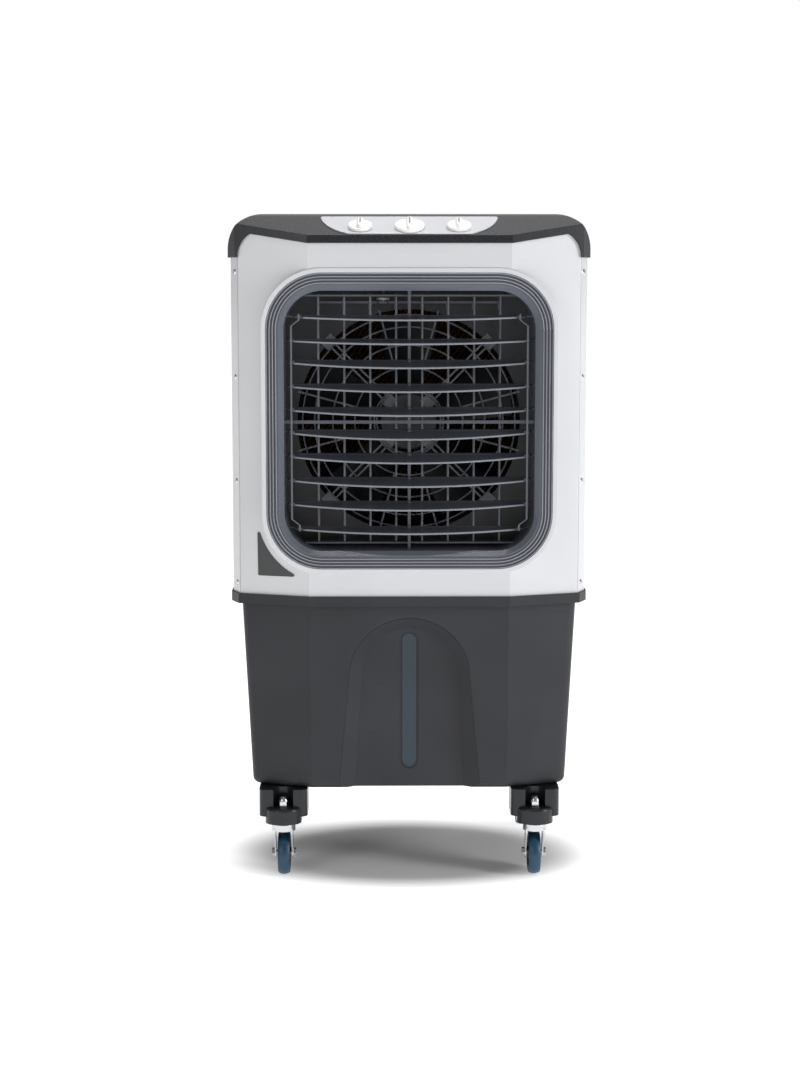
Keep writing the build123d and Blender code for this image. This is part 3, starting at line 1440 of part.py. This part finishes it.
def make_wheel():
    """Caster wheel at the origin: crowned tread on a dished hub, bored for the axle."""
    half, rim = WHEEL_WIDTH / 2, WHEEL_RADIUS - 9
    with BuildPart() as wheel:
        with BuildSketch(Plane.XZ):
            with BuildLine():
                Polyline(
                    (-half, WHEEL_RADIUS - 3), (-half, rim), (-half + 4, rim - 3), (-half + 4, 12),
                    (-half - 1.5, 10), (-half - 1.5, AXLE_RADIUS + RUN_GAP),
                    (half + 1.5, AXLE_RADIUS + RUN_GAP), (half + 1.5, 10), (half - 4, 12),
                    (half - 4, rim - 3), (half, rim), (half, WHEEL_RADIUS - 3),
                )
                ThreePointArc((half, WHEEL_RADIUS - 3), (0, WHEEL_RADIUS), (-half, WHEEL_RADIUS - 3))
            make_face()
        revolve(axis=Axis.X)
    return Pos(0, CASTER_TRAIL, WHEEL_RADIUS) * wheel.part


def at_corners(piece):
    """The piece repeated under each corner of the tank, turned to face outward."""
    with BuildPart() as group:
        for _, x, y, inward in CORNERS:
            add(Pos(x, y, 0) * Rotation(0, 0, 0 if inward > 0 else 180) * piece)
    return group.part


save(at_corners(make_bracket()), "caster_brackets")
save(at_corners(make_caster_bolt()), "caster_bolts")
for corner_name, corner_x, corner_y, corner_facing in CORNERS:
    corner = Pos(corner_x, corner_y, 0) * Rotation(0, 0, 0 if corner_facing > 0 else 180)
    save(corner * make_fork(), f"caster_fork_{corner_name}")
    save(corner * make_wheel(), f"caster_wheel_{corner_name}")
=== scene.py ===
import json
import math

import bpy
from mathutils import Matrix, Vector


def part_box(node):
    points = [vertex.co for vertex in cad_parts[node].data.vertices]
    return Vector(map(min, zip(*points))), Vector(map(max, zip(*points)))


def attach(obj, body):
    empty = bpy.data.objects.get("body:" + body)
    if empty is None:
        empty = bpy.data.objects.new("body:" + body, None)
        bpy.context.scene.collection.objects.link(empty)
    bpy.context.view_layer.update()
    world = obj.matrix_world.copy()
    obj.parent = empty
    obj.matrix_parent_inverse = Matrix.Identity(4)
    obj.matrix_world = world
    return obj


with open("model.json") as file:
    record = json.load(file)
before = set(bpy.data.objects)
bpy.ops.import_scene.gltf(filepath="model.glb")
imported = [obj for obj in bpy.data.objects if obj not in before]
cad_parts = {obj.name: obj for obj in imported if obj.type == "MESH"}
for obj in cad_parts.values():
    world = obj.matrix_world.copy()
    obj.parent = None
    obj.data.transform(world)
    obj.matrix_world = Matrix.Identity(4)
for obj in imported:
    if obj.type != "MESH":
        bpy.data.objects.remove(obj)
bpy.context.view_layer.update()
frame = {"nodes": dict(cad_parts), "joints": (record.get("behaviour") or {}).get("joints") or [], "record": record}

NODES = frame["nodes"]
JOINTS = {joint["name"]: joint for joint in frame["joints"]}
SLOTS = {part["node"]: part["material_slot"] for part in frame["record"]["subparts"]}
SLOPE = math.radians(24.5)
ACROSS = Vector((1, 0, 0))
UP_SLOPE = Vector((0, math.cos(SLOPE), math.sin(SLOPE)))
OUT = Vector((0, -math.sin(SLOPE), math.cos(SLOPE)))


# ---------------------------------------------------------------- materials
COAT_ROUGHNESS = 0.12
DRIFT_SCALE, DRIFT_FROM, DRIFT_TO = 7.0, 0.3, 0.7
GRAINS_PER_METRE = 1000.0
GRAIN_DEPTH = 0.0002
ROUGH_SPREAD, ROUGH_LEAST = 0.06, 0.02
BEVEL_SAMPLES = 4
PAD_SLANT = math.radians(45)
# Paper colour on the crests, and a darker painted shade for the corrugation troughs
PAD_SHADE, PAD_CREST = (0.03, 0.015, 0.008), (0.1, 0.056, 0.031)


def join(tree, source, output, target, into):
    """Links one node's output to another's input."""
    tree.links.new(source.outputs[output], target.inputs[into])


def add_node(tree, kind, **values):
    """A shader node with some of its sockets' values set."""
    node = tree.nodes.new(kind)
    for key, value in values.items():
        node.inputs[key.replace("_", " ")].default_value = value
    return node


def colour_ramp(tree, stops):
    """A colour ramp node from (position, colour) pairs."""
    ramp = tree.nodes.new("ShaderNodeValToRGB")
    while len(ramp.color_ramp.elements) < len(stops):
        ramp.color_ramp.elements.new(0.5)
    for element, (position, colour) in zip(ramp.color_ramp.elements, stops):
        element.position = position
        element.color = (*colour, 1)
    return ramp


def plastic(name, base, rough=0.45, grain=0.25, grain_size=0.9, mottle=0.1, metallic=0.0, coat=0.0,
            edge=0.0008, specular=0.5):
    """Moulded or painted surface: slow colour drift, fine grain in bump and roughness, eased edges."""
    mat = bpy.data.materials.new(name)
    mat.use_nodes = True
    tree = mat.node_tree
    shader = tree.nodes["Principled BSDF"]
    shader.inputs["Metallic"].default_value = metallic
    shader.inputs["Coat Weight"].default_value = coat
    shader.inputs["Coat Roughness"].default_value = COAT_ROUGHNESS
    shader.inputs["Specular IOR Level"].default_value = specular
    coords = tree.nodes.new("ShaderNodeTexCoord")

    drift = add_node(tree, "ShaderNodeTexNoise", Scale=DRIFT_SCALE, Detail=4.0)
    join(tree, coords, "Object", drift, "Vector")
    low = [c * (1 - mottle) for c in base]
    high = [min(c * (1 + mottle), 1.0) for c in base]
    ramp = colour_ramp(tree, ((DRIFT_FROM, low), (DRIFT_TO, high)))
    join(tree, drift, "Fac", ramp, "Fac")
    join(tree, ramp, "Color", shader, "Base Color")

    fine = add_node(tree, "ShaderNodeTexNoise", Scale=GRAINS_PER_METRE / grain_size, Detail=3.0)
    join(tree, coords, "Object", fine, "Vector")
    least = max(rough - ROUGH_SPREAD, ROUGH_LEAST)
    spread = add_node(tree, "ShaderNodeMapRange", To_Min=least, To_Max=rough + ROUGH_SPREAD)
    join(tree, fine, "Fac", spread, "Value")
    join(tree, spread, "Result", shader, "Roughness")
    bump = add_node(tree, "ShaderNodeBump", Strength=grain, Distance=GRAIN_DEPTH)
    join(tree, fine, "Fac", bump, "Height")
    if edge:
        bevel = add_node(tree, "ShaderNodeBevel", Radius=edge)
        bevel.samples = BEVEL_SAMPLES
        join(tree, bevel, "Normal", bump, "Normal")
    join(tree, bump, "Normal", shader, "Normal")
    return mat


def wheel_material(name, centre, rim, tread, hub):
    """Tread colour outside the rim radius, hub colour inside it, about an axle along X."""
    mat = plastic(name, tread, rough=0.4, grain=0.3)
    tree = mat.node_tree
    ramp = next(node for node in tree.nodes if node.bl_idname == "ShaderNodeValToRGB")
    coords = tree.nodes.new("ShaderNodeTexCoord")
    shift = tree.nodes.new("ShaderNodeVectorMath")
    shift.operation = "SUBTRACT"
    shift.inputs[1].default_value = centre
    join(tree, coords, "Object", shift, 0)
    flat = tree.nodes.new("ShaderNodeVectorMath")
    flat.operation = "MULTIPLY"
    flat.inputs[1].default_value = (0, 1, 1)
    join(tree, shift, 0, flat, 0)
    radius = tree.nodes.new("ShaderNodeVectorMath")
    radius.operation = "LENGTH"
    join(tree, flat, 0, radius, 0)
    inside = tree.nodes.new("ShaderNodeMath")
    inside.operation = "LESS_THAN"
    inside.inputs[1].default_value = rim
    join(tree, radius, "Value", inside, 0)
    mix = tree.nodes.new("ShaderNodeMixRGB")
    mix.inputs["Color2"].default_value = (*hub, 1)
    join(tree, inside, 0, mix, "Fac")
    join(tree, ramp, "Color", mix, "Color1")
    join(tree, mix, "Color", tree.nodes["Principled BSDF"], "Base Color")
    return mat


def pad_material():
    """Corrugated paper: slanting waves in bump, and in colour as painted shade that darkens the troughs and grades
    to the paper's colour on the crests.
    """
    mat = plastic("pad_paper", PAD_CREST, rough=0.85, grain=0.6, grain_size=2.0, edge=0.0, specular=0.2)
    tree = mat.node_tree
    coords = tree.nodes.new("ShaderNodeTexCoord")
    turn = tree.nodes.new("ShaderNodeMapping")
    turn.inputs["Rotation"].default_value = (PAD_SLANT, PAD_SLANT, 0)
    join(tree, coords, "Object", turn, "Vector")
    wave = add_node(tree, "ShaderNodeTexWave", Scale=42.0, Distortion=2.5, Detail=2.0)
    wave.bands_direction = "Z"
    join(tree, turn, "Vector", wave, "Vector")
    # painted shade: troughs darker than crests, following the same waves as the bump
    ramp = colour_ramp(tree, ((0.15, PAD_SHADE), (0.75, PAD_CREST)))
    join(tree, wave, "Fac", ramp, "Fac")
    join(tree, ramp, "Color", tree.nodes["Principled BSDF"], "Base Color")
    ridges = add_node(tree, "ShaderNodeBump", Strength=0.9, Distance=0.003)
    join(tree, wave, "Fac", ridges, "Height")
    bump = next(node for node in tree.nodes if node.bl_idname == "ShaderNodeBump" and node != ridges)
    join(tree, ridges, "Normal", bump, "Normal")
    return mat


MATERIALS = {
    "tank_plastic": plastic("tank_plastic", (0.034, 0.035, 0.0395), rough=0.42, grain=0.3, grain_size=1.2,
                            specular=0.16),
    "window": plastic("window", (0.022, 0.036, 0.05), rough=0.2, grain=0.05, specular=0.3),
    "silver_plastic": plastic("silver_plastic", (0.575, 0.585, 0.605), rough=0.3, grain=0.12, mottle=0.02,
                              coat=0.25, edge=0.0014),
    "dark_trim": plastic("dark_trim", (0.035, 0.036, 0.038), rough=0.3),
    "grille_plastic": plastic("grille_plastic", (0.105, 0.115, 0.14), rough=0.3, grain=0.15, coat=0.05,
                              edge=0.0005),
    "louvre_plastic": plastic("louvre_plastic", (0.064, 0.07, 0.087), rough=0.3, grain=0.2, edge=0.0005),
    "vane_plastic": plastic("vane_plastic", (0.16, 0.17, 0.195), rough=0.34, grain=0.2, edge=0.0),
    "cover_plastic": plastic("cover_plastic", (0.011, 0.012, 0.0155), rough=0.27, grain=0.35, grain_size=1.3,
                             edge=0.0015, specular=0.35),
    "panel_silver": plastic("panel_silver", (0.56, 0.565, 0.59), rough=0.32, grain=0.15, mottle=0.03,
                            metallic=0.3),
    "black_plastic": plastic("black_plastic", (0.032, 0.034, 0.04), rough=0.4, edge=0.0),
    "fan_plastic": plastic("fan_plastic", (0.014, 0.015, 0.018), rough=0.4, edge=0.0),
    "guard_wire": plastic("guard_wire", (0.2, 0.21, 0.235), rough=0.3, edge=0.0),
    "motor_metal": plastic("motor_metal", (0.045, 0.046, 0.052), rough=0.4, edge=0.0),
    "pad_paper": pad_material(),
    "hose_rubber": plastic("hose_rubber", (0.03, 0.03, 0.033), rough=0.5, edge=0.0),
    "brass": plastic("brass", (0.62, 0.45, 0.19), rough=0.3, metallic=1.0),
    "float_plastic": plastic("float_plastic", (0.5, 0.5, 0.47), rough=0.4, edge=0.0),
    "screw_steel": plastic("screw_steel", (0.6, 0.61, 0.63), rough=0.25, metallic=1.0, edge=0.0002),
    "chrome": plastic("chrome", (0.5, 0.51, 0.53), rough=0.16, metallic=1.0, grain=0.05),
    "knob_white": plastic("knob_white", (0.82, 0.82, 0.81), rough=0.28, grain=0.08, mottle=0.02, coat=0.3,
                          edge=0.0006),
    # pale strips on the louvres' front edges: a painted highlight, not the plastic's own colour
    "lip": plastic("lip", (0.2, 0.21, 0.235), rough=0.3, grain=0.15, edge=0.0),
    # pale lines on the bezel's rib crests: a painted highlight
    "rib_crest_highlight": plastic("rib_crest_highlight", (0.3, 0.315, 0.34), rough=0.35, grain=0.1, edge=0.0),
    "pointer": plastic("pointer", (0.22, 0.22, 0.23), rough=0.4, edge=0.0),
}


def paint(obj, mat):
    """Gives every material slot of an object the same material."""
    if not obj.material_slots:
        obj.data.materials.append(mat)
    for held in obj.material_slots:
        held.material = mat


TREAD_BLUE, HUB_DARK = (0.003, 0.042, 0.085), (0.02, 0.021, 0.025)
RIM_RADIUS = 0.029
for node, obj in NODES.items():
    if node.startswith("caster_wheel_"):
        low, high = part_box(node)
        middle = [(a + b) / 2 for a, b in zip(low, high)]
        paint(obj, wheel_material(node + "_finish", middle, RIM_RADIUS, TREAD_BLUE, HUB_DARK))
    else:
        paint(obj, MATERIALS[SLOTS[node]])


# ---------------------------------------------------------------- small pieces that ride on the bodies
def new_piece(name, verts, faces, body, mat):
    """A smooth mesh piece in the row frame, riding on a body."""
    mesh = bpy.data.meshes.new(name)
    mesh.from_pydata([tuple(v) for v in verts], [], faces)
    mesh.update()
    obj = bpy.data.objects.new(name, mesh)
    bpy.context.scene.collection.objects.link(obj)
    mesh.polygons.foreach_set("use_smooth", [True] * len(mesh.polygons))
    paint(obj, mat)
    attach(obj, body)


def tube(path, across, up, wide, tall, around=10):
    """Verts and faces of an elliptical bar along a path; across and up are unit directions per point."""
    verts, faces = [], []
    for point, side, rise in zip(path, across, up):
        for step in range(around):
            turn = 2 * math.pi * step / around
            verts.append(point + side * (wide * math.cos(turn)) + rise * (tall * math.sin(turn)))
    for ring in range(len(path) - 1):
        for step in range(around):
            a, b = ring * around + step, ring * around + (step + 1) % around
            faces.append((a, b, b + around, a + around))
    faces.append(tuple(reversed(range(around))))
    faces.append(tuple(range(len(verts) - around, len(verts))))
    return verts, faces


def ring_path(centre, half_x, half_z, radius, steps=10):
    """Points and outward directions round an upright rounded rectangle; the last repeats the first."""
    points, outward = [], []
    for corner, (sx, sz) in enumerate(((1, 1), (-1, 1), (-1, -1), (1, -1))):
        for step in range(steps + 1):
            turn = math.radians(90) * (corner + step / steps)
            out = Vector((math.cos(turn), 0, math.sin(turn)))
            middle = centre + Vector((sx * (half_x - radius), 0, sz * (half_z - radius)))
            points.append(middle + out * radius)
            outward.append(out)
    return points + points[:1], outward + outward[:1]


# Painted highlights: pale strips along the louvres' bowed front edges, standing for light caught by the edges;
# those of the end louvres stop short of the link rods
REACH, TIP = 0.039, 0.008
RISE = REACH - TIP
SET_ANGLES = (9, 9, 15, 14.5, 15, 17.5, 17, 16, 14.5, 10)
HALF, SHORT_HALF = 0.2065, 0.196
LIP_END, SHORT_LIP_END = 0.2005, 0.181
LIP_PROUD, LIP_WIDE, LIP_TALL = 0.0002, 0.0011, 0.0016
LIP_STEPS = 48


def lip_path(pivot, forward, half, lip_end):
    """Points and outward directions along a louvre's front edge."""
    bow = (half ** 2 + RISE ** 2) / (2 * RISE)
    points, outward = [], []
    for step in range(LIP_STEPS + 1):
        x = (2 * step / LIP_STEPS - 1) * lip_end
        depth = math.sqrt(bow ** 2 - x ** 2)
        out = (ACROSS * x + forward * depth) / bow
        points.append(pivot + ACROSS * x + forward * (REACH - bow + depth) + out * LIP_PROUD)
        outward.append(out)
    return points, outward


for index, angle in enumerate(SET_ANGLES):
    name = f"louvre_{index + 1:02d}"
    pivot = Vector(JOINTS[name + "_tilt"]["pos_m"])
    short = index in (0, len(SET_ANGLES) - 1)
    half, lip_end = (SHORT_HALF, SHORT_LIP_END) if short else (HALF, LIP_END)
    lean = math.radians(angle)
    forward = Vector((0, -math.cos(lean), -math.sin(lean)))
    normal = Vector((0, -math.sin(lean), math.cos(lean)))
    path, across = lip_path(pivot, forward, half, lip_end)
    verts, faces = tube(path, across, [normal] * len(path), LIP_WIDE, LIP_TALL)
    new_piece(name + "_lip", verts, faces, name, MATERIALS["lip"])

# Painted highlights: fine pale lines along the crests of the bezel's ribs, standing for light caught by the crests
OPEN_HALF_X, OPEN_HALF_Z, OPEN_RADIUS = 0.210, 0.2175, 0.064
RIB_BORDER = 0.0297
RIB_COUNT, RIB_PITCH, RIB_WIDE = 4, 0.0052, 0.0024
HIGHLIGHT_WIDE, HIGHLIGHT_DEEP, HIGHLIGHT_SUNK = 0.00055, 0.0004, 0.0001
BEZEL_LOW, BEZEL_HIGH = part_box("grille_bezel")
BEZEL_FRONT = Vector((0, BEZEL_LOW[1] + HIGHLIGHT_SUNK, (BEZEL_LOW[2] + BEZEL_HIGH[2]) / 2))
for rib in range(RIB_COUNT):
    grow = RIB_BORDER - (rib * RIB_PITCH + RIB_WIDE / 2)
    path, outward = ring_path(BEZEL_FRONT, OPEN_HALF_X + grow, OPEN_HALF_Z + grow, OPEN_RADIUS + grow)
    verts, faces = tube(path, outward, [Vector((0, 1, 0))] * len(path), HIGHLIGHT_WIDE, HIGHLIGHT_DEEP, 8)
    new_piece(f"bezel_crest_highlight_{rib + 1}", verts, faces, "housing", MATERIALS["rib_crest_highlight"])

# Grey pointers along the knobs' grips
KNOB_RADII = {"knob_left": 0.0205, "knob_centre": 0.025, "knob_right": 0.0205}
KNOB_TOP = 0.0130
POINTER_UP_INSET, POINTER_LOW_INSET = 0.0075, 0.015
POINTER_WIDE, POINTER_TALL = 0.0012, 0.0005
POINTER_STEPS = 8
for knob, radius in KNOB_RADII.items():
    top = Vector(JOINTS[knob + "_turn"]["pos_m"]) + OUT * KNOB_TOP
    start = top + UP_SLOPE * (radius - POINTER_UP_INSET)
    end = top - UP_SLOPE * (radius - POINTER_LOW_INSET)
    path = [start.lerp(end, step / POINTER_STEPS) for step in range(POINTER_STEPS + 1)]
    verts, faces = tube(path, [ACROSS] * len(path), [OUT] * len(path), POINTER_WIDE, POINTER_TALL, 8)
    new_piece(knob + "_pointer", verts, faces, knob, MATERIALS["pointer"])


# ---------------------------------------------------------------- stage, lights, camera
FLOOR_HALF = 60
FLOOR_COLOUR = (0.85, 0.85, 0.85)
# Oval under the object where the floor's painted glow stops, leaving the shadow dark
SHADOW_OVAL_WIDE, SHADOW_OVAL_DEEP, SHADOW_OVAL_FORWARD = 0.285, 0.20, 0.035


def area(name, place, aim, size, power, colour=(1, 1, 1)):
    """A soft rectangular light at a place, aimed at a point."""
    data = bpy.data.lights.new(name, "AREA")
    data.shape = "RECTANGLE"
    data.size, data.size_y = size
    data.energy = power
    data.color = colour
    lamp = bpy.data.objects.new(name, data)
    bpy.context.scene.collection.objects.link(lamp)
    lamp.location = place
    lamp.rotation_euler = (Vector(aim) - Vector(place)).to_track_quat("-Z", "Y").to_euler()


def pale_floor():
    """Large pale floor with painted light: it glows white away from the object, outside an oval under it, so the
    glow's edge shapes the shadow.
    """
    mesh = bpy.data.meshes.new("floor")
    corners = [(x * FLOOR_HALF, y * FLOOR_HALF, 0) for x, y in ((-1, -1), (1, -1), (1, 1), (-1, 1))]
    mesh.from_pydata(corners, [], [(0, 1, 2, 3)])
    floor = bpy.data.objects.new("floor", mesh)
    bpy.context.scene.collection.objects.link(floor)
    mat = plastic("floor_finish", FLOOR_COLOUR, rough=0.8, mottle=0.004, grain=0.02, edge=0.0, specular=0.1)
    tree = mat.node_tree
    coords = tree.nodes.new("ShaderNodeTexCoord")
    shadow_oval = tree.nodes.new("ShaderNodeMapping")
    shadow_oval.inputs["Scale"].default_value = (1 / SHADOW_OVAL_WIDE, 1 / SHADOW_OVAL_DEEP, 1)
    shadow_oval.inputs["Location"].default_value = (0, SHADOW_OVAL_FORWARD / SHADOW_OVAL_DEEP, 0)
    join(tree, coords, "Object", shadow_oval, "Vector")
    away = tree.nodes.new("ShaderNodeVectorMath")
    away.operation = "LENGTH"
    join(tree, shadow_oval, "Vector", away, 0)
    # painted light: emission whitens the floor outside the oval
    painted_glow = add_node(tree, "ShaderNodeMapRange", From_Min=0.75, From_Max=1.3, To_Min=0.0, To_Max=0.85)
    painted_glow.interpolation_type = "SMOOTHSTEP"
    join(tree, away, "Value", painted_glow, "Value")
    tree.nodes["Principled BSDF"].inputs["Emission Color"].default_value = (1, 1, 1, 1)
    join(tree, painted_glow, "Result", tree.nodes["Principled BSDF"], "Emission Strength")
    mesh.materials.append(mat)


def studio_world():
    """White backdrop; the light it casts is stronger from the right than from the left."""
    world = bpy.data.worlds.new("studio")
    world.use_nodes = True
    tree = world.node_tree
    coords = tree.nodes.new("ShaderNodeTexCoord")
    parts = tree.nodes.new("ShaderNodeSeparateXYZ")
    join(tree, coords, "Generated", parts, "Vector")
    sides = add_node(tree, "ShaderNodeMapRange", From_Min=-0.9, From_Max=0.9, To_Min=0.19, To_Max=0.42)
    join(tree, parts, "X", sides, "Value")
    path = tree.nodes.new("ShaderNodeLightPath")
    seen = tree.nodes.new("ShaderNodeMath")
    seen.operation = "MAXIMUM"
    join(tree, path, "Is Camera Ray", seen, 0)
    join(tree, sides, "Result", seen, 1)
    backdrop = tree.nodes["Background"]
    backdrop.inputs["Color"].default_value = (1, 1, 1, 1)
    join(tree, seen, "Value", backdrop, "Strength")
    bpy.context.scene.world = world


pale_floor()
studio_world()
area("key", (3.3, -1.9, 1.5), (0, 0, 0.6), (0.9, 1.8), 56)
area("fill", (-2.3, -3.4, 1.8), (0, 0, 0.7), (1.2, 1.4), 24, (1.0, 0.985, 0.96))
area("side", (2.3, -1.15, 0.42), (0, -0.2, 0.33), (0.5, 0.5), 4)
area("rear", (0.3, 2.6, 3.5), (0, 0, 1.0), (2.2, 1.2), 8)
area("top", (0, 0, 3.0), (0, 0, 0), (0.9, 0.7), 34)

FRONT_Y = -0.210
CAMERA_AWAY, CAMERA_ASIDE, CAMERA_UP = 3.400, -0.0450, 1.010
CAMERA_PITCH, CAMERA_TURN = math.radians(-6.88), -0.0085
SENSOR_MM, LENS_MM = 36, 68.8931
camera_data = bpy.data.cameras.new("camera")
camera_data.lens = LENS_MM
camera_data.sensor_width = SENSOR_MM
camera = bpy.data.objects.new("camera", camera_data)
bpy.context.scene.collection.objects.link(camera)
camera.location = (CAMERA_ASIDE, FRONT_Y - CAMERA_AWAY, CAMERA_UP)
camera.rotation_euler = (math.radians(90) + CAMERA_PITCH, 0, CAMERA_TURN)
bpy.context.scene.camera = camera
bpy.context.scene.view_settings.view_transform = "Standard"
